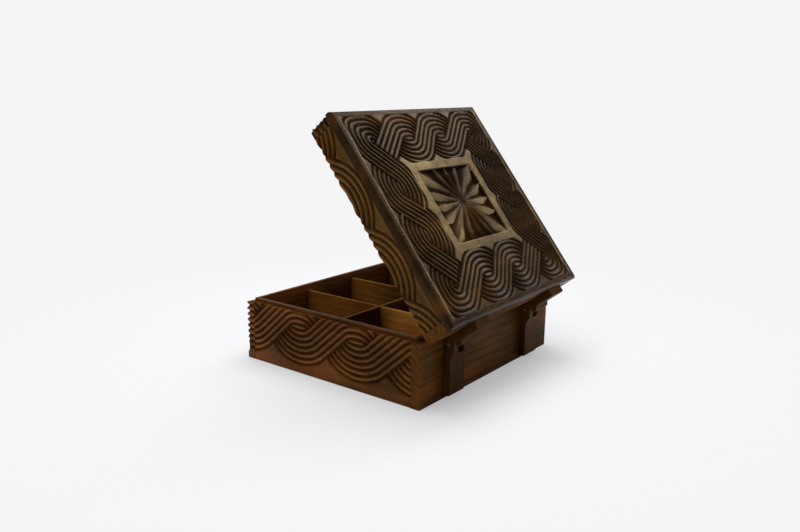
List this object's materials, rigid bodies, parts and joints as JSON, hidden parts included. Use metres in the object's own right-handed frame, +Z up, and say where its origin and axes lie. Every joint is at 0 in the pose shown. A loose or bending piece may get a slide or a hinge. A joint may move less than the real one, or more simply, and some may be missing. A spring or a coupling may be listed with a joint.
{
  "type": "jewelry box",
  "caption": "Carved hardwood jewelry box with a hinged lid on wooden leaf hinges and a base divided into compartments, standing on its flat underside.",
  "frame": {"origin": "centre of the base's underside", "axes": "+Z up, -Y the front, +Y the back with the hinges, +X the right-hand side seen from the front"},
  "size_m": [0.264, 0.2904, 0.2883],
  "materials": {
    "carved_walnut": "hand-carved, waxed, darker in the grooves",
    "carved_top": "hand-carved, dry wax with a greyish sheen on the flats",
    "plain_walnut": "planed, thinly waxed, grain along the width",
    "inside_wood": "planed, unpolished",
    "hinge_wood": "rubbed smooth, dull wax",
    "peg_wood": "end grain, waxed",
    "pin_steel": "dull, slightly browned"
  },
  "bodies": {
    "base": {"base_front": "carved_walnut", "base_back": "plain_walnut", "base_left": "carved_walnut", "base_right": "carved_walnut", "base_bottom": "inside_wood", "divider_left": "inside_wood", "divider_right": "inside_wood", "divider_cross": "inside_wood", "base_leaf_left": "hinge_wood", "base_leaf_right": "hinge_wood", "hinge_pin_left": "pin_steel", "hinge_pin_right": "pin_steel", "base_leaf_pegs": "peg_wood", "base_corner_dowels": "peg_wood", "bottom_pins": "pin_steel"},
    "lid": {"lid_front": "carved_walnut", "lid_back": "plain_walnut", "lid_left": "carved_walnut", "lid_right": "carved_walnut", "lid_top": "carved_top", "lid_leaf_left": "hinge_wood", "lid_leaf_right": "hinge_wood", "lid_leaf_pegs": "peg_wood", "lid_corner_dowels": "peg_wood"}
  },
  "joints": [
    {"name": "lid_hinge", "type": "hinge", "parent": "base", "child": "lid", "pos_m": [0, 0.1315, 0.06], "axis": [-1, 0, 0], "range_deg": [-52, 43]}
  ]
}
